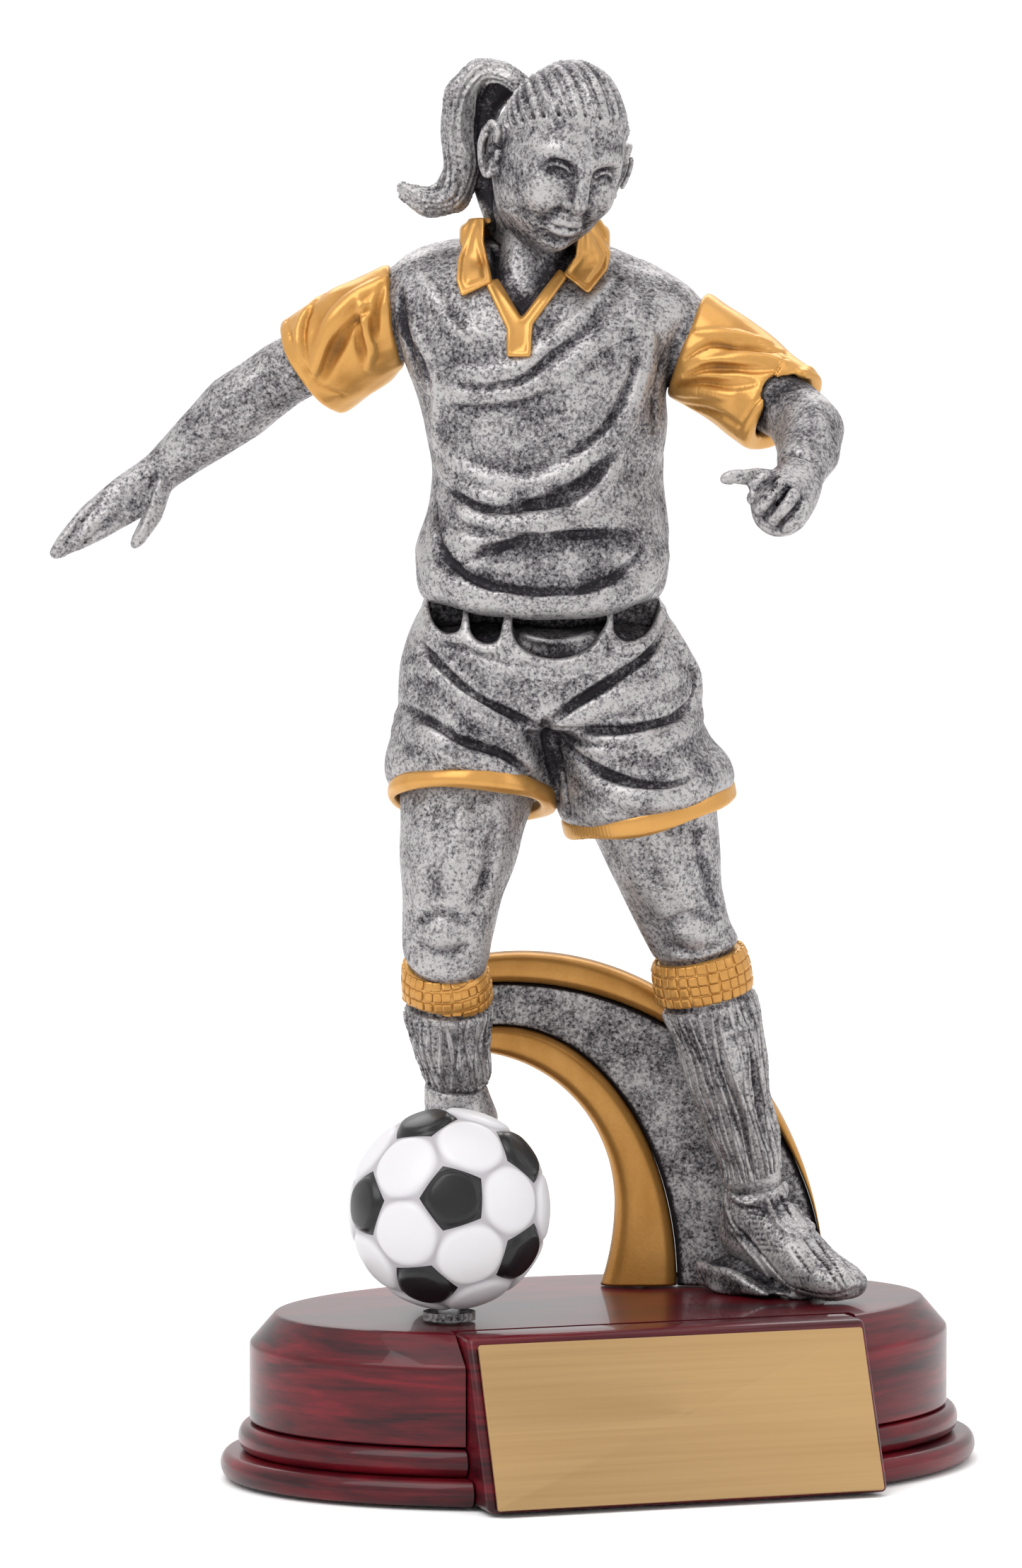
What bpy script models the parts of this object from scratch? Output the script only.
"""Figure trophy: a cast footballer, an arch and a ball on an elliptical base with an engraving plate.

World frame: metres, +Z up, origin at the middle of the base's underside, the plate faces -Y.
The castings are laid out in millimetres in the figure's own frame, which turns with FIGURE_TURN and
stands on the base: +x is across the arch, +y goes to its back, +z is up, and the base top is at GROUND.
"""
from math import acos, cos, pi, radians, sin

import bmesh
import bpy
from mathutils import Euler, Matrix, Vector

MM = 0.001

# ---- driving dimensions, millimetres and degrees ----
BASE_HEIGHT = 22.5
FOOT_HALF = (53.0, 36.0)          # ellipse half axes of the plinth's foot moulding
DRUM_HALF = (49.0, 33.0)          # ellipse half axes of the drum
DRUM_CHAMFER = 4.0
CHAMFER_INSET = (0.85, 1.15)      # how far the chamfer runs in across and deep, as shares of its height
FOOT_MOULDING_TOP = 3.9
PLINTH_HEIGHT = 7.7
STEP_INSET = 2.4                  # how far the step moulding stands back from the foot moulding
FOOT_BULGE, STEP_BULGE = 1.2, 1.4  # how far each half-round moulding swells
CREASE = 0.05                     # height of the crease between the two mouldings
PAD_PROUD = 0.5                   # how far the felt pad stands below the plinth
PAD_THICKNESS = 1.0
PAD_INSET = 6.0
BLOCK_WIDTH = 56.0
BLOCK_FRONT = 36.2                # the block's front edge at the underside, ahead of the centre
BLOCK_BACK = 20.0
BLOCK_RAKE = 22.0                 # degrees from upright
BLOCK_BEVEL = 0.6
PLATE_SIZE = (54.0, 22.2, 0.5)
PLATE_MARGIN = 1.2                # from the block's upper front edge down to the plate
FIGURE_TURN = 19.0                # the castings face this far off the base's front
GROUND = 22.5                     # the base top's height in the figure's frame

BALL_DIAMETER = 27.6
BALL_PLACE = (-20.4, -19.0)
BALL_LIFT = 1.2                   # from the base top to the ball's lowest point
SEAT_DIAMETER = 7.0

ARCH_DEPTH_AT = 17.0              # the arch's middle plane at its foot
ARCH_BEND = 6.0                   # how far the free end comes forward
ARCH_END_X = -17.0
ARCH_SPRING_X = 10.0
BAND_THICKNESS = 6.4
WEB_THICKNESS = 4.6
ARCH_SECTIONS = 26

SCREW_DIAMETER = 3.0
SCREW_HEAD = (6.0, 2.0)           # diameter and height
SCREW_GRIP = 7.0                  # length above the base top
ARCH_SCREW_PLACE = (5.2, 17.0)
BOOT_SCREW_PLACE = (25.9, 6.1)
WASHER = (8.0, 0.8)               # diameter and thickness
COUNTERBORE = (9.6, 6.0)          # diameter, and its top above the underside
DOWEL_DIAMETER = 2.2
DOWEL_LENGTH = 8.0

# ---- clearances ----
SEAM = 0.3                        # between castings and wherever two pieces meet
BORE_CLEARANCE = 0.3              # all round a screw or a dowel

LIMB_SIDES = 20
BODY_SIDES = 28
BASE_SIDES = 48
BALL_SIDES = 32
HEAD_SIDES = 28
ROD_SIDES = 24
SHIRT_POWER, SHORTS_POWER, BOOT_POWER = 2.5, 2.3, 2.5   # how square their sections are, 2 is an ellipse

MATERIALS = {
    "antique_silver": ((0.30, 0.30, 0.32), 0.75, 0.38),
    "satin_gold": ((0.66, 0.36, 0.07), 0.7, 0.33),
    "rosewood_gloss": ((0.12, 0.012, 0.02), 0.0, 0.12),
    "brushed_gold": ((0.62, 0.42, 0.18), 0.9, 0.4),
    "ball_white": ((0.78, 0.78, 0.77), 0.0, 0.35),
    "steel": ((0.42, 0.42, 0.43), 1.0, 0.35),
    "felt": ((0.02, 0.02, 0.022), 0.0, 0.95),
}


# ---- scene helpers ----
def clear_scene():
    for item in list(bpy.data.objects):
        bpy.data.objects.remove(item)
    for group in list(bpy.data.collections):
        bpy.data.collections.remove(group)


def new_collection(name):
    group = bpy.data.collections.new(name)
    bpy.context.scene.collection.children.link(group)
    return group


def material(name):
    if name in bpy.data.materials:
        return bpy.data.materials[name]
    colour, metallic, roughness = MATERIALS[name]
    made = bpy.data.materials.new(name)
    made.use_nodes = True
    shader = made.node_tree.nodes["Principled BSDF"]
    shader.inputs["Base Color"].default_value = (*colour, 1.0)
    shader.inputs["Metallic"].default_value = metallic
    shader.inputs["Roughness"].default_value = roughness
    return made


def add_object(name, mesh, finish=None, parent=None, smooth=True):
    """Link a mesh as a part, or as a cutter when it has no finish."""
    piece = bpy.data.objects.new(name, mesh)
    if finish:
        PARTS.objects.link(piece)
        mesh.materials.append(material(finish))
    else:
        CUTTERS.objects.link(piece)
        piece.hide_render = True
        piece.display_type = "WIRE"
    if smooth:
        mesh.shade_smooth()
        mesh.set_sharp_from_angle(angle=radians(35))
    piece.parent = parent
    return piece


def mesh_from_bmesh(name, shape):
    bmesh.ops.recalc_face_normals(shape, faces=shape.faces)
    mesh = bpy.data.meshes.new(name)
    shape.to_mesh(mesh)
    shape.free()
    return mesh


def boolean(piece, tool, operation="DIFFERENCE"):
    step = piece.modifiers.new(f"{operation.lower()}_{tool.name}", "BOOLEAN")
    step.operation = operation
    step.object = tool
    step.solver = "EXACT"


# ---- lofts ----
def ring_points(centre, half_a, half_b, normal, side, sides, power=2.0):
    """Points of a (super)ellipse whose first axis is `side` laid into the plane of `normal`."""
    normal = Vector(normal).normalized()
    across = Vector(side)
    across = (across - normal * across.dot(normal)).normalized()
    deep = normal.cross(across)
    points = []
    for index in range(sides):
        angle = 2 * pi * index / sides
        u = abs(cos(angle)) ** (2 / power) * (1 if cos(angle) >= 0 else -1)
        v = abs(sin(angle)) ** (2 / power) * (1 if sin(angle) >= 0 else -1)
        points.append(Vector(centre) + across * u * half_a + deep * v * half_b)
    return points


def station_normals(stations):
    """Each station's own normal where it has one, or else the direction of the path through it."""
    centres = [Vector(station[:3]) for station in stations]
    normals = []
    for index, station in enumerate(stations):
        before = centres[max(index - 1, 0)]
        after = centres[min(index + 1, len(stations) - 1)]
        normal = (after - before).normalized()
        if len(station) > 5:
            own = Vector(station[5]).normalized()
            normal = -own if own.dot(normal) < 0 else own
        normals.append(normal)
    return normals


def skin(name, rings):
    """A closed solid through rings that have the same number of points."""
    shape = bmesh.new()
    loops = [[shape.verts.new(point * MM) for point in ring] for ring in rings]
    count = len(loops[0])
    for low, high in zip(loops, loops[1:]):
        for index in range(count):
            following = (index + 1) % count
            shape.faces.new((low[index], low[following], high[following], high[index]))
    shape.faces.new(loops[0])
    shape.faces.new(loops[-1])
    return mesh_from_bmesh(name, shape)


def station_rings(stations, side, sides, power):
    normals = station_normals(stations)
    return [ring_points(s[:3], s[3], s[4], n, side, sides, power) for s, n in zip(stations, normals)]


def loft(name, stations, finish=None, parent=None, side=(1, 0, 0), sides=LIMB_SIDES, power=2.0):
    mesh = skin(name, station_rings(stations, side, sides, power))
    return add_object(name, mesh, finish, parent)


def limb(stations, cuts, parent, side=(1, 0, 0), sides=LIMB_SIDES, power=2.0):
    """One chain of stations made as several castings, which meet at the seams with a gap."""
    normals = station_normals(stations)
    pieces = {}
    for name, first, last, finish in cuts:
        rings = []
        for index in range(first, last + 1):
            x, y, z, half_a, half_b = stations[index][:5]
            centre = Vector((x, y, z))
            if index == first:
                centre += normals[index] * SEAM
            rings.append(ring_points(centre, half_a, half_b, normals[index], side, sides, power))
        pieces[name] = add_object(name, skin(name, rings), finish, parent)
    return pieces


def cuff_band(name, low, high, hole, finish, parent, sides=BODY_SIDES):
    """A ring-shaped band between two stations, with an oval hole of the given half axes."""
    normals = station_normals((low, high))
    rings = []
    for station, normal, inner in ((low, normals[0], False), (high, normals[1], False),
                                   (high, normals[1], True), (low, normals[0], True)):
        half = hole if inner else station[3:5]
        rings.append(ring_points(station[:3], *half, normal, (1, 0, 0), sides))
    shape = bmesh.new()
    loops = [[shape.verts.new(point * MM) for point in ring] for ring in rings]
    for step in range(4):
        this_loop, next_loop = loops[step], loops[(step + 1) % 4]
        for index in range(sides):
            following = (index + 1) % sides
            shape.faces.new((this_loop[index], this_loop[following], next_loop[following], next_loop[index]))
    return add_object(name, mesh_from_bmesh(name, shape), finish, parent)


# ---- simple solids ----
def box(name, size, place, rotation=(0, 0, 0), finish=None, parent=None):
    shape = bmesh.new()
    bmesh.ops.create_cube(shape, size=1.0)
    bmesh.ops.scale(shape, vec=Vector(size) * MM, verts=shape.verts)
    piece = add_object(name, mesh_from_bmesh(name, shape), finish, parent, smooth=False)
    piece.location = Vector(place) * MM
    piece.rotation_euler = [radians(angle) for angle in rotation]
    return piece


def rod(name, diameter, start, end, finish=None, parent=None, sides=ROD_SIDES):
    """A round bar between two points."""
    start, end = Vector(start), Vector(end)
    shape = bmesh.new()
    bmesh.ops.create_cone(shape, cap_ends=True, segments=sides, radius1=diameter / 2 * MM,
                          radius2=diameter / 2 * MM, depth=(end - start).length * MM)
    piece = add_object(name, mesh_from_bmesh(name, shape), finish, parent)
    piece.location = (start + end) / 2 * MM
    piece.rotation_euler = (end - start).to_track_quat("Z", "Y").to_euler()
    return piece


def turned(name, profile, place, finish=None, parent=None, steps=ROD_SIDES, closed=False):
    """A turned solid: the profile's (radius, height) points run from the top down to the bottom."""
    mesh = bpy.data.meshes.new(name)
    points = [(radius * MM, 0, height * MM) for radius, height in profile]
    edges = [(index, index + 1) for index in range(len(points) - 1)]
    if closed:
        edges.append((len(points) - 1, 0))
    mesh.from_pydata(points, edges, [])
    piece = add_object(name, mesh, finish, parent, smooth=False)
    spin = piece.modifiers.new("turn", "SCREW")
    spin.steps = spin.render_steps = steps
    spin.use_merge_vertices = True
    spin.merge_threshold = 0.00001
    spin.use_smooth_shade = False
    piece.location = Vector(place) * MM
    return piece


def ball_mesh(name, diameter, finish=None, parent=None, segments=BALL_SIDES):
    shape = bmesh.new()
    bmesh.ops.create_uvsphere(shape, u_segments=segments, v_segments=segments // 2, radius=diameter / 2 * MM)
    return add_object(name, mesh_from_bmesh(name, shape), finish, parent)


# ---- base ----
def oval_layers(layers):
    """Stations of an upright oval solid from (height, half axis across, half axis deep) layers."""
    return [(0, 0, height, half_x, half_y, (0, 0, 1)) for height, half_x, half_y in layers]


def half_round(bottom, top, half, bulge, steps=6):
    """Layers of a half-round moulding that bulges out to `half`."""
    layers = []
    for step in range(steps + 1):
        angle = pi * step / steps
        inset = bulge * (1 - sin(angle))
        height = (bottom + top) / 2 - (top - bottom) / 2 * cos(angle)
        layers.append((height, half[0] - inset, half[1] - inset))
    return layers


def make_base():
    step_half = (FOOT_HALF[0] - STEP_INSET, FOOT_HALF[1] - STEP_INSET)
    foot = half_round(PAD_PROUD, FOOT_MOULDING_TOP, FOOT_HALF, FOOT_BULGE)
    step = half_round(FOOT_MOULDING_TOP + CREASE, PLINTH_HEIGHT, step_half, STEP_BULGE)
    plinth = loft("base_plinth", oval_layers(foot + step), "rosewood_gloss", sides=BASE_SIDES)

    drum_bottom = PLINTH_HEIGHT + SEAM
    shoulder = BASE_HEIGHT - DRUM_CHAMFER
    top_half = [half - DRUM_CHAMFER * share for half, share in zip(DRUM_HALF, CHAMFER_INSET)]
    layers = [(drum_bottom, *DRUM_HALF), (shoulder, *DRUM_HALF), (BASE_HEIGHT, *top_half)]
    drum = loft("base_drum", oval_layers(layers), "rosewood_gloss", sides=BASE_SIDES)

    pad_half = (DRUM_HALF[0] - PAD_INSET, BLOCK_BACK)
    pad_layers = [(0, *pad_half), (PAD_THICKNESS, *pad_half)]
    pad = loft("base_pad", oval_layers(pad_layers), "felt", sides=BASE_SIDES)
    pad.location.y = SEAM * MM
    recess_half = (pad_half[0] + SEAM, pad_half[1] + SEAM)
    recess_layers = [(-PAD_THICKNESS, *recess_half), (PAD_THICKNESS + SEAM, *recess_half)]
    recess = loft("pad_recess", oval_layers(recess_layers), sides=BASE_SIDES)
    recess.location.y = SEAM * MM
    boolean(plinth, recess)

    notch_depth, notch_height = 60.0, 80.0
    notch_y = -BLOCK_BACK - notch_depth / 2
    notch = box("block_notch", (BLOCK_WIDTH + 2 * SEAM, notch_depth, notch_height), (0, notch_y, 0))
    boolean(plinth, notch)
    boolean(drum, notch)
    return plinth, drum, pad


def make_plate_block():
    """A prism with a raked front, and the plate lying on that face."""
    rake = radians(BLOCK_RAKE)
    bottom = PAD_PROUD
    front_top = BLOCK_FRONT - BASE_HEIGHT * sin(rake) / cos(rake)
    front_bottom = BLOCK_FRONT - bottom * sin(rake) / cos(rake)
    back = BLOCK_BACK + SEAM
    section = [(-front_bottom, bottom), (-back, bottom), (-back, BASE_HEIGHT), (-front_top, BASE_HEIGHT)]
    half = BLOCK_WIDTH / 2
    rings = [[Vector((x, y, z)) for y, z in section] for x in (-half, half)]
    block = add_object("plate_block", skin("plate_block", rings), "rosewood_gloss", smooth=False)
    edge = block.modifiers.new("soft_edges", "BEVEL")
    edge.width = BLOCK_BEVEL * MM
    edge.segments = 2
    edge.limit_method = "ANGLE"

    length, height, thickness = PLATE_SIZE
    plate = box("engraving_plate", (length, thickness, height), (0, 0, 0), finish="brushed_gold")
    down = PLATE_MARGIN + height / 2
    out = SEAM + thickness / 2
    plate.location.y = (-front_top - down * sin(rake) - out * cos(rake)) * MM
    plate.location.z = (BASE_HEIGHT - down * cos(rake) + out * sin(rake)) * MM
    plate.rotation_euler.x = -rake
    return block, plate


# ---- arch ----
def arch_centre_y(x):
    """The arch's middle plane bends forward towards its free end."""
    if x > ARCH_SPRING_X:
        return ARCH_DEPTH_AT
    share = (ARCH_SPRING_X - x) / (ARCH_SPRING_X - ARCH_END_X)
    return ARCH_DEPTH_AT - ARCH_BEND * share * share


# centre x, spring height above the base, half width, half height of the arch's four curves
ARCH_CURVES = {
    "outer": (-12.0, 0.0, 43.0, 46.6),
    "outer_inside": (-14.9, 0.0, 45.8, 42.4),
    "inner_outside": (-14.9, 0.0, 25.5, 36.5),
    "inner": (-19.8, 11.5, 21.7, 21.6),
}
INNER_FLARE = 1.9                 # the inner curve turns back out by this much at the base
INNER_STRAIGHT = 0.22             # the share of the inner curve that runs below its arc


def arch_point(curve, share):
    """A point (x, z) on one of the arch's curves: share 0 at the free end, 1 at the base."""
    centre, spring, half_x, half_z = ARCH_CURVES[curve]
    start = acos((ARCH_END_X - centre) / half_x)
    foot = GROUND + SEAM
    straight = INNER_STRAIGHT if spring else 0.0
    if share <= 1 - straight:
        angle = start * (1 - share / (1 - straight))
        return centre + half_x * cos(angle), foot + spring + half_z * sin(angle)
    fall = (share - 1 + straight) / straight
    return centre + half_x - INNER_FLARE * fall * fall, foot + spring * (1 - fall)


def arch_strip(name, inside, outside, thickness, finish, parent, inside_gap=0.0, outside_gap=0.0):
    rings = []
    for section in range(ARCH_SECTIONS + 1):
        share = section / ARCH_SECTIONS
        low, high = Vector(arch_point(inside, share)), Vector(arch_point(outside, share))
        along = (high - low).normalized()
        low, high = low + along * inside_gap, high - along * outside_gap
        if section == ARCH_SECTIONS:
            low.y = high.y = GROUND + SEAM
        ring = []
        for (x, z), face in ((low, -1), (high, -1), (high, 1), (low, 1)):
            ring.append(Vector((x, arch_centre_y(x) + face * thickness / 2, z)))
        rings.append(ring)
    return add_object(name, skin(name, rings), finish, parent)


def make_arch(parent):
    outer = arch_strip("arch_outer_band", "outer_inside", "outer", BAND_THICKNESS, "satin_gold", parent)
    web = arch_strip("arch_web", "inner_outside", "outer_inside", WEB_THICKNESS, "antique_silver", parent,
                     inside_gap=SEAM, outside_gap=SEAM)
    inner = arch_strip("arch_inner_band", "inner", "inner_outside", BAND_THICKNESS, "satin_gold", parent)
    return web, inner, outer


# ---- figure ----
SHIRT_STATIONS = [
    (-8.2, 0.3, 118.4, 16.6, 11.6, (0, -0.14, 1)),
    (-8.2, 0.2, 121.5, 17.2, 12.4, (0, -0.10, 1)),
    (-8.0, 0.2, 126.0, 17.3, 12.3, (0, -0.04, 1)),
    (-7.6, 0.3, 131.5, 15.7, 11.2, (0, 0, 1)),
    (-7.6, 0.4, 136.0, 15.3, 11.0, (0, 0, 1)),
    (-7.4, 0.2, 142.0, 16.6, 11.8, (0, 0, 1)),
    (-8.3, 0.0, 148.0, 17.4, 12.2, (0, 0, 1)),
    (-8.9, 0.2, 153.5, 20.0, 12.0, (0.03, 0, 1)),
    (-8.6, 0.8, 158.5, 22.5, 10.8, (0.05, -0.05, 1)),
    (-8.4, 1.5, 161.8, 21.0, 9.0, (0.08, -0.15, 1)),
    (-8.8, 2.2, 164.6, 16.0, 7.2, (0.08, -0.25, 1)),
    (-9.2, 2.6, 166.2, 9.6, 6.4, (0.05, -0.30, 1)),
]
SHORTS_BODY = [
    (-8.0, 0.3, 101.0, 19.5, 12.6, (0, 0, 1)),
    (-7.3, 0.3, 104.5, 20.6, 13.0, (0, 0, 1)),
    (-7.6, 0.3, 110.0, 19.9, 13.0, (0, 0, 1)),
    (-8.1, 0.3, 114.0, 18.3, 12.6, (0, 0, 1)),
    (-8.2, 0.3, 117.6, 16.4, 11.8, (0, -0.14, 1)),
]
RIGHT_HEM_NORMAL = (0.05, 0.27, 1.0)
LEFT_HEM_NORMAL = (-0.24, -0.10, 1.0)
HEM_HEIGHT = 2.6
HEM_SLACK = 1.2                   # between a thigh and its hem
RIGHT_LEG_OF_SHORTS = [
    (-17.8, 0.0, 93.3, 11.6, 12.6, RIGHT_HEM_NORMAL),
    (-17.4, 0.2, 98.5, 11.6, 12.9, (0, 0.1, 1)),
    (-16.6, 0.3, 106.0, 10.4, 12.2, (0, 0, 1)),
]
LEFT_LEG_OF_SHORTS = [
    (6.2, 0.6, 91.5, 11.8, 12.6, LEFT_HEM_NORMAL),
    (4.0, 0.4, 97.5, 11.2, 12.9, (-0.12, 0, 1)),
    (1.6, 0.3, 106.0, 10.0, 12.2, (0, 0, 1)),
]
RIGHT_LEG = [
    (-18.2, 0.2, 93.3, 9.3, 9.8, RIGHT_HEM_NORMAL),
    (-19.2, -1.8, 85.6, 8.3, 9.0),
    (-20.3, -3.8, 79.5, 7.1, 7.8),
    (-21.0, -4.6, 73.0, 6.1, 6.6),
    (-21.2, -4.0, 69.6, 5.9, 6.2, (0.05, -0.48, 1)),
    (-21.0, -2.8, 66.4, 6.3, 6.6, (0.05, -0.36, 1)),
    (-20.8, -1.6, 63.6, 6.2, 6.4, (0.05, -0.26, 1)),
    (-20.7, -0.6, 60.4, 5.7, 5.9),
    (-20.4, 0.6, 56.5, 5.0, 5.4),
    (-20.0, 1.8, 52.6, 4.3, 4.7, (0.05, -0.25, 1)),
    (-19.0, 3.2, 47.6, 5.0, 5.6, (0, -0.1, 1)),
    (-19.6, 2.8, 41.0, 4.4, 4.4),
    (-20.8, 0.8, 33.0, 4.7, 3.5),
    (-21.8, -1.8, 27.4, 4.6, 3.2, (0, 0.6, 1)),
    (-22.4, -5.0, 25.2, 3.4, 2.1, (-0.2, 1.0, 0.35)),
    (-22.6, -7.0, 24.5, 1.4, 0.9, (-0.2, 1.0, 0.2)),
]
LEFT_LEG = [
    (6.6, 0.6, 91.5, 9.2, 9.8, LEFT_HEM_NORMAL),
    (8.6, 1.6, 83.0, 7.7, 8.6),
    (10.4, 2.8, 77.0, 6.5, 7.2),
    (12.2, 4.0, 71.8, 5.9, 6.3),
    (13.1, 4.4, 70.2, 6.6, 6.4, (-0.22, -0.14, 1)),
    (13.7, 5.0, 67.0, 7.0, 6.8, (-0.22, -0.14, 1)),
    (14.3, 5.5, 63.8, 6.8, 6.6, (-0.22, -0.14, 1)),
    (15.3, 6.0, 60.8, 6.3, 6.2),
    (17.1, 7.4, 54.6, 5.6, 5.7),
    (19.0, 8.8, 47.0, 4.9, 5.0),
    (20.5, 9.8, 41.2, 4.2, 4.3),
    (21.2, 10.2, 37.4, 4.1, 4.1, (-0.15, -0.1, 1)),
]
RIGHT_SLEEVE = [
    (-27.4, 1.4, 156.8, 7.4, 6.6, (-1, 0.10, -0.12)),
    (-32.4, 2.8, 154.2, 7.5, 6.8),
    (-39.6, 6.0, 149.4, 7.7, 7.2, (-0.82, 0.30, -0.52)),
]
RIGHT_FOREARM = [
    (-37.0, 4.8, 152.2, 4.5, 4.5),
    (-43.6, 7.4, 148.8, 4.7, 4.7),
    (-49.8, 8.8, 144.2, 4.9, 4.6),
    (-55.8, 9.6, 139.2, 3.8, 3.6),
    (-60.2, 9.8, 135.4, 3.0, 2.4),
    (-64.8, 9.4, 131.8, 3.3, 1.8),
    (-69.6, 8.8, 128.4, 2.8, 1.5),
    (-73.0, 8.3, 125.6, 1.7, 1.1),
    (-75.2, 8.0, 123.6, 0.8, 0.6),
]
RIGHT_THUMB = [
    (-59.8, 8.8, 134.4, 1.6, 1.6),
    (-61.2, 7.4, 129.4, 1.4, 1.3),
    (-63.4, 6.6, 125.8, 1.0, 1.0),
    (-64.2, 6.4, 124.8, 0.5, 0.5),
]
LEFT_SLEEVE = [
    (11.2, 0.6, 153.0, 7.7, 6.8, (0.93, -0.12, -0.36)),
    (17.8, -1.8, 148.8, 7.3, 6.8),
    (24.6, -6.0, 143.2, 7.2, 6.6, (0.64, -0.42, -0.64)),
]
LEFT_FOREARM = [
    (20.6, -3.8, 146.4, 4.4, 4.4),
    (25.4, -8.0, 143.6, 4.6, 4.6),
    (27.5, -12.0, 141.2, 4.8, 4.8),
    (27.3, -17.0, 138.4, 4.3, 4.3),
    (26.0, -22.0, 135.2, 3.2, 3.2),
    (24.6, -25.4, 132.8, 3.9, 3.8),
    (23.0, -28.8, 130.8, 3.9, 3.8),
    (22.2, -30.6, 129.8, 2.8, 2.8),
]
LEFT_THUMB = [
    (23.6, -25.0, 134.4, 1.4, 1.4),
    (20.0, -27.4, 135.2, 1.3, 1.2),
    (16.2, -28.4, 134.8, 0.9, 0.9),
    (15.4, -28.6, 134.6, 0.4, 0.4),
]
PONYTAIL = [
    (-9.0, -1.0, 186.0, 1.8, 1.4),
    (-13.0, 1.0, 189.2, 2.0, 1.5),
    (-16.4, 2.2, 189.6, 2.6, 1.8),
    (-19.0, 3.0, 186.6, 3.2, 2.3),
    (-19.5, 3.4, 181.6, 3.4, 2.2),
    (-18.9, 3.4, 176.6, 3.2, 2.4),
    (-20.2, 3.2, 172.6, 2.8, 2.5),
    (-23.6, 3.0, 171.6, 2.2, 2.0),
    (-26.8, 2.8, 173.4, 1.4, 1.3),
    (-28.2, 2.6, 174.9, 0.6, 0.5),
]
HEAD_CENTRE = (-5.9, -7.0, 177.6)
HEAD_TURNS = (20.0, 8.0, 24.0)    # bow forward, lean and turn, degrees
HEAD_HALF = (8.4, 10.2, 12.8)     # half width, depth and height
HAIR_THICKNESS = 0.8
HAIRLINE_TILT = -34.0              # the cap comes down at the back of the head
HAIRLINE_RISE = 2.6
NECK = [
    (-9.2, 2.4, 166.6, 5.6, 5.6, (0.05, -0.30, 1)),
    (-8.4, 0.6, 170.5, 5.5, 5.6),
    (-7.4, -2.0, 175.0, 5.5, 5.8),
]
COLLAR_BAND = [
    (-9.2, 2.4, 166.9, 8.6, 7.6, (0.05, -0.30, 1)),
    (-9.0, 1.8, 169.2, 7.6, 6.9, (0.05, -0.30, 1)),
]
COLLAR_HOLE = (6.5, 6.5)
COLLAR_THICKNESS = 1.0
COLLAR_FRONT_Y = 0.0              # the stand is open in front of this
RIGHT_WING = [(-19.3, 164.6), (-18.8, 158.8), (-14.2, 161.0), (-13.4, 163.2), (-14.2, 164.6)]
LEFT_WING = [(1.6, 164.2), (2.2, 163.4), (-0.6, 159.0), (-5.0, 161.4), (-3.8, 164.2)]
PLACKET = [(-14.0, 160.2), (-12.5, 155.4), (-12.3, 150.9), (-9.3, 150.9), (-9.2, 155.6), (-4.6, 160.8),
           (-6.0, 161.4), (-10.7, 156.0), (-12.8, 160.9)]
BOOT_HEEL = (17.4, 14.6)
BOOT_DIRECTION = (0.707, -0.707)
# distance from the heel, middle height, half height, half width
LEFT_BOOT = [
    (0.3, 31.4, 2.2, 1.6),
    (1.6, 31.6, 4.3, 3.2),
    (5.0, 31.4, 4.8, 4.1),
    (9.0, 30.3, 4.9, 4.2),
    (13.0, 28.2, 4.1, 4.5),
    (17.0, 26.3, 3.2, 4.8),
    (21.0, 25.4, 2.5, 4.5),
    (23.4, 24.9, 1.8, 3.4),
    (24.3, 24.6, 1.0, 2.0),
]
LEFT_BOOT_COLLAR = [
    (21.2, 10.2, 31.0, 4.2, 4.2, (0, 0, 1)),
    (21.2, 10.2, 37.1, 4.2, 4.2, (-0.15, -0.1, 1)),
]
# distance from the heel, top height, half width
WEDGE = [(-1.0, 26.6, 5.6), (5.0, 26.1, 6.0), (9.0, 24.9, 6.0), (13.0, 23.6, 5.6), (15.0, 23.1, 4.6)]


def grown(stations, by):
    """The same stations, larger by one clearance all round."""
    return [(*station[:3], station[3] + by, station[4] + by, *station[5:]) for station in stations]


def armhole_cutters(parent):
    """Slabs whose inner faces are the sleeve seams."""
    depth, height, reach = 40.0, 19.0, 40.0
    slabs = []
    for name, station in (("right_armhole", RIGHT_SLEEVE[0]), ("left_armhole", LEFT_SLEEVE[0])):
        normal = Vector(station[5]).normalized()
        slab = box(name, (depth, height, reach), (0, 0, 0), parent=parent)
        slab.rotation_euler = normal.to_track_quat("Z", "Y").to_euler()
        up = normal.to_track_quat("Z", "Y") @ Vector((0, 1, 0))
        slab.location = (Vector(station[:3]) + normal * reach / 2 + up) * MM
        slabs.append(slab)
    return slabs


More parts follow.
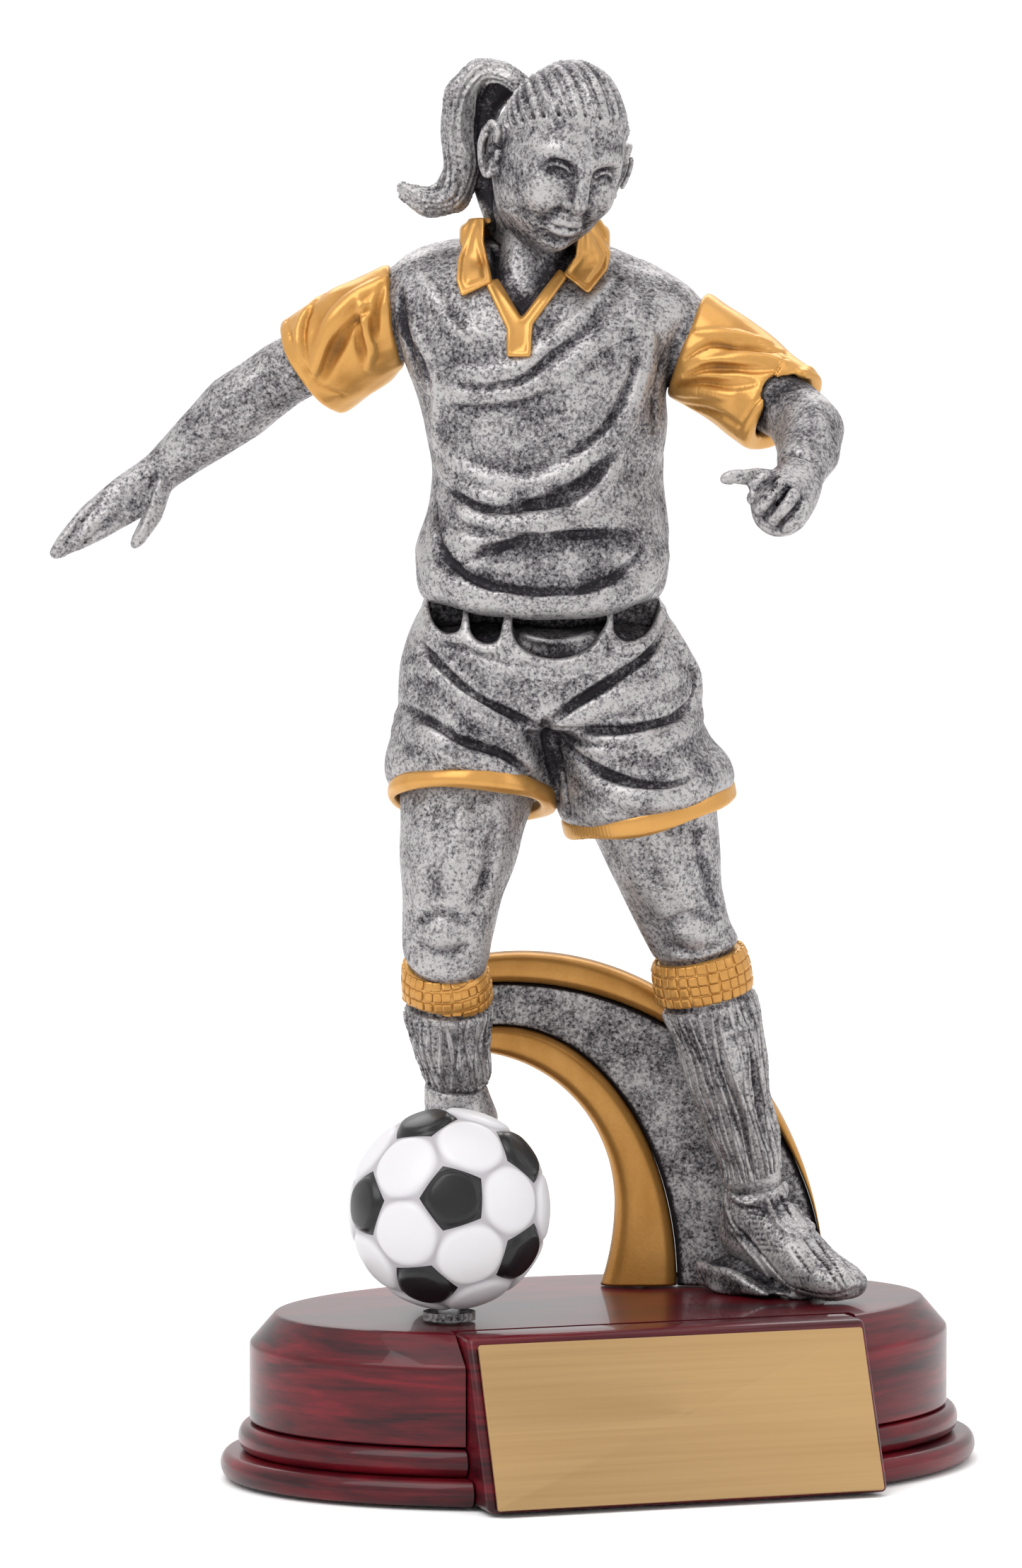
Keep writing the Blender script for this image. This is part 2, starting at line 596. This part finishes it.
def make_head(parent):
    half = Vector(HEAD_HALF)
    head = ball_mesh("head", 2.0, "antique_silver", parent, segments=HEAD_SIDES)
    head.data.transform(Matrix.Diagonal((*half, 1)))
    cap = ball_mesh("hair_cap", 2.0, "antique_silver", parent, segments=HEAD_SIDES)
    cap.data.transform(Matrix.Diagonal((*(half + Vector((1, 1, 1)) * HAIR_THICKNESS), 1)))
    boolean(head, loft("neck_core", NECK, parent=parent), "UNION")
    size = 60.0
    tilt = Euler((radians(HAIRLINE_TILT), 0, 0))
    normal = tilt.to_matrix() @ Vector((0, 0, 1))
    for piece, side in ((head, 1), (cap, -1)):
        piece.location = Vector(HEAD_CENTRE) * MM
        piece.rotation_euler = [radians(angle) for angle in HEAD_TURNS]
        limit = box(f"{piece.name}_limit", (size, size, size), (0, 0, 0), parent=piece)
        limit.rotation_euler = tilt
        limit.location = (Vector((0, 0, HAIRLINE_RISE)) + normal * side * (size - SEAM) / 2) * MM
        boolean(piece, limit)
    tail = loft("ponytail", PONYTAIL, "antique_silver", parent, side=(0, 1, 0))
    seat = ball_mesh("ponytail_seat", 2.0, parent=parent, segments=HEAD_SIDES)
    seat.data.transform(Matrix.Diagonal((*(half + Vector((1, 1, 1)) * (HAIR_THICKNESS + SEAM)), 1)))
    seat.location, seat.rotation_euler = cap.location, cap.rotation_euler
    boolean(tail, seat)
    return head, cap, tail


def prism(name, outline, parent, front=-16.0, back=-1.0):
    """An outline of (x, z) points drawn out between two depths."""
    rings = [[Vector((x, y, z)) for x, z in outline] for y in (front, back)]
    return add_object(name, skin(name, rings), parent=parent, smooth=False)


def laid_on_shirt(name, outline, parent, finish):
    """A flat outline laid on the shirt as a layer of even thickness."""
    layer = loft(name, grown(SHIRT_STATIONS, SEAM + COLLAR_THICKNESS), finish, parent, sides=BODY_SIDES,
                 power=SHIRT_POWER)
    boolean(layer, prism(f"{name}_outline", outline, parent), "INTERSECT")
    inside = loft(f"{name}_inside", grown(SHIRT_STATIONS, SEAM), parent=parent, sides=BODY_SIDES,
                  power=SHIRT_POWER)
    boolean(layer, inside)
    return layer


def make_collar(parent):
    low, high = COLLAR_BAND
    stand = cuff_band("collar_stand", low, high, COLLAR_HOLE, "satin_gold", parent, sides=LIMB_SIDES)
    size = 30.0
    open_front = box("collar_open_front", (size, size, size), (low[0], COLLAR_FRONT_Y - size / 2, low[2]),
                     parent=parent)
    boolean(stand, open_front)
    laid_on_shirt("collar_right_wing", RIGHT_WING, parent, "satin_gold")
    laid_on_shirt("collar_left_wing", LEFT_WING, parent, "satin_gold")
    laid_on_shirt("placket", PLACKET, parent, "satin_gold")


def make_arms(parent):
    silver, gold = "antique_silver", "satin_gold"
    sleeves = []
    for hand, sleeve_path, arm_path, thumb_path in (
            ("right", RIGHT_SLEEVE, RIGHT_FOREARM, RIGHT_THUMB),
            ("left", LEFT_SLEEVE, LEFT_FOREARM, LEFT_THUMB)):
        sleeve = limb(sleeve_path, [(f"{hand}_sleeve", 0, 2, gold)], parent)[f"{hand}_sleeve"]
        socket = loft(f"{hand}_sleeve_socket", grown(arm_path[:4], SEAM), parent=parent)
        boolean(sleeve, socket)
        inside = Vector(arm_path[1][:3]) - Vector(arm_path[0][:3])
        start = Vector(arm_path[0][:3]) + inside.normalized() * SEAM
        forearm = loft(f"{hand}_forearm", [(*start, *arm_path[0][3:])] + arm_path[1:], silver, parent)
        boolean(forearm, loft(f"{hand}_thumb", thumb_path, parent=parent, sides=12), "UNION")
        sleeves.append(sleeve)
    return sleeves


def make_shorts(parent):
    shorts = loft("shorts", SHORTS_BODY, "antique_silver", parent, sides=BODY_SIDES,
                  power=SHORTS_POWER)
    legs = (("right", RIGHT_LEG_OF_SHORTS, RIGHT_LEG), ("left", LEFT_LEG_OF_SHORTS, LEFT_LEG))
    for hand, shorts_leg, leg in legs:
        boolean(shorts, loft(f"{hand}_leg_of_shorts", shorts_leg, parent=parent, sides=BODY_SIDES), "UNION")
        top = shorts_leg[0]
        normal = Vector(top[5]).normalized()
        centre = Vector(top[:3])
        high = (*(centre - normal * SEAM), top[3], top[4], top[5])
        low = (*(centre - normal * (SEAM + HEM_HEIGHT)), top[3] + 0.2, top[4] + 0.2, top[5])
        hole = (leg[0][3] + HEM_SLACK, leg[0][4] + HEM_SLACK)
        cuff_band(f"{hand}_hem", low, high, hole, "satin_gold", parent)
    return shorts


def boot_place(distance, height):
    return (BOOT_HEEL[0] + BOOT_DIRECTION[0] * distance, BOOT_HEEL[1] + BOOT_DIRECTION[1] * distance, height)


def make_legs(parent):
    silver, gold = "antique_silver", "satin_gold"
    limb(RIGHT_LEG, [("right_thigh", 0, 4, silver), ("right_cuff", 4, 6, gold),
                     ("right_sock", 6, 9, silver), ("right_boot", 9, 15, silver)], parent)
    left = limb(LEFT_LEG, [("left_thigh", 0, 4, silver), ("left_cuff", 4, 6, gold),
                           ("left_sock", 6, 11, silver)], parent)
    stations = [(*boot_place(distance, middle), half_height, half_width)
                for distance, middle, half_height, half_width in LEFT_BOOT]
    boot = loft("left_boot", stations, silver, parent, side=(0, 0, 1), sides=BODY_SIDES,
                power=BOOT_POWER)
    boolean(boot, loft("left_boot_collar", LEFT_BOOT_COLLAR, parent=parent), "UNION")

    across = Vector((-BOOT_DIRECTION[1], BOOT_DIRECTION[0], 0))
    rings = []
    for distance, top, half_width in WEDGE:
        centre = Vector(boot_place(distance, 0))
        sides = (centre - across * half_width, centre + across * half_width)
        ring = [Vector((*side.xy, GROUND + SEAM)) for side in sides]
        ring += [Vector((*side.xy, top)) for side in reversed(sides)]
        rings.append(ring)
    wedge = add_object("ground_wedge", skin("ground_wedge", rings), silver, parent, smooth=False)

    web_front = ARCH_DEPTH_AT - WEB_THICKNESS / 2 - SEAM
    size = 60.0
    behind = box("behind_web_face", (size, size, size), (size / 2, web_front + size / 2, size / 2),
                 parent=parent)
    for piece in (boot, wedge, left["left_sock"]):
        boolean(piece, behind)
    band_space = arch_strip("outer_band_space", "outer_inside", "outer", BAND_THICKNESS + 2 * SEAM, None,
                            parent, inside_gap=-SEAM, outside_gap=-SEAM)
    boolean(left["left_sock"], band_space)
    return boot, wedge


# ---- ball ----
def make_ball(parent):
    radius = BALL_DIAMETER / 2
    middle = GROUND + BALL_LIFT + radius
    ball = ball_mesh("ball", BALL_DIAMETER, "ball_white", parent)
    ball.location = Vector((*BALL_PLACE, middle)) * MM
    seat_top = BALL_LIFT + SEAT_DIAMETER ** 2 / (8 * radius)
    half = SEAT_DIAMETER / 2
    profile = [(0, seat_top), (half, seat_top), (half, SEAM), (0, SEAM)]
    seat = turned("ball_seat", profile, (*BALL_PLACE, GROUND), "antique_silver", parent)
    dish = ball_mesh("seat_dish", BALL_DIAMETER + 2 * SEAM, parent=parent)
    dish.location = ball.location
    boolean(seat, dish)
    return ball, seat


# ---- fastening ----
def fasten_from_below(name, place, pieces, parent):
    """A screw with its washer, and its bore through the base and up into what it holds."""
    bore = SCREW_DIAMETER + 2 * BORE_CLEARANCE
    top = BASE_HEIGHT + SCREW_GRIP
    well, ceiling = COUNTERBORE
    head_top = ceiling - SEAM - WASHER[1] - SEAM
    shank, head = SCREW_DIAMETER / 2, SCREW_HEAD[0] / 2
    profile = [(0, top), (shank, top), (shank, head_top), (head, head_top),
               (head, head_top - SCREW_HEAD[1]), (0, head_top - SCREW_HEAD[1])]
    turned(f"{name}_screw", profile, (*place, 0), "steel", parent)
    washer_top = ceiling - SEAM
    ring = [(bore / 2, washer_top), (WASHER[0] / 2, washer_top),
            (WASHER[0] / 2, washer_top - WASHER[1]), (bore / 2, washer_top - WASHER[1])]
    turned(f"{name}_washer", ring, (*place, 0), "steel", parent, closed=True)
    hole = rod(f"{name}_bore", bore, (*place, -2), (*place, top + SEAM), parent=parent)
    counterbore = rod(f"{name}_counterbore", well, (*place, -2), (*place, ceiling), parent=parent)
    for piece in pieces:
        boolean(piece, hole)
    boolean(pieces[0], counterbore)


def dowel(name, centre, direction, pieces, parent):
    """A steel dowel across a seam, in a blind bore in each of the two castings."""
    along = Vector(direction).normalized() * DOWEL_LENGTH / 2
    centre = Vector(centre)
    rod(name, DOWEL_DIAMETER, centre - along, centre + along, "steel", parent, sides=16)
    spare = along.normalized() * BORE_CLEARANCE
    bore = rod(f"{name}_bore", DOWEL_DIAMETER + 2 * BORE_CLEARANCE, centre - along - spare,
               centre + along + spare, parent=parent, sides=16)
    for piece in pieces:
        boolean(piece, bore)


def turned_frame(name, height):
    """An empty that faces the way the castings do."""
    frame = bpy.data.objects.new(name, None)
    PARTS.objects.link(frame)
    frame.rotation_euler.z = -radians(FIGURE_TURN)
    frame.location.z = height * MM
    return frame


def build():
    plinth, drum, _ = make_base()
    make_plate_block()
    figure = turned_frame("figure_frame", BASE_HEIGHT - GROUND)
    floor = turned_frame("fastening_frame", 0)

    _, inner_band, _ = make_arch(figure)
    shirt = loft("shirt", SHIRT_STATIONS, "antique_silver", figure, sides=BODY_SIDES,
                 power=SHIRT_POWER)
    for slab in armhole_cutters(figure):
        boolean(shirt, slab)
    make_shorts(figure)
    boot, wedge = make_legs(figure)
    right_sleeve, left_sleeve = make_arms(figure)
    head, _, _ = make_head(figure)
    make_collar(figure)
    ball, seat = make_ball(figure)

    fasten_from_below("arch", ARCH_SCREW_PLACE, (plinth, drum, inner_band), floor)
    fasten_from_below("boot", BOOT_SCREW_PLACE, (plinth, drum, wedge, boot), floor)
    fasten_from_below("ball", BALL_PLACE, (plinth, drum, seat, ball), floor)
    dowel("neck_dowel", NECK[0][:3], NECK[0][5], (shirt, head), figure)
    dowel("right_shoulder_dowel", RIGHT_SLEEVE[0][:3], RIGHT_SLEEVE[0][5], (shirt, right_sleeve), figure)
    dowel("left_shoulder_dowel", LEFT_SLEEVE[0][:3], LEFT_SLEEVE[0][5], (shirt, left_sleeve), figure)


clear_scene()
PARTS = new_collection("figure_trophy")
CUTTERS = new_collection("cutters")
build()
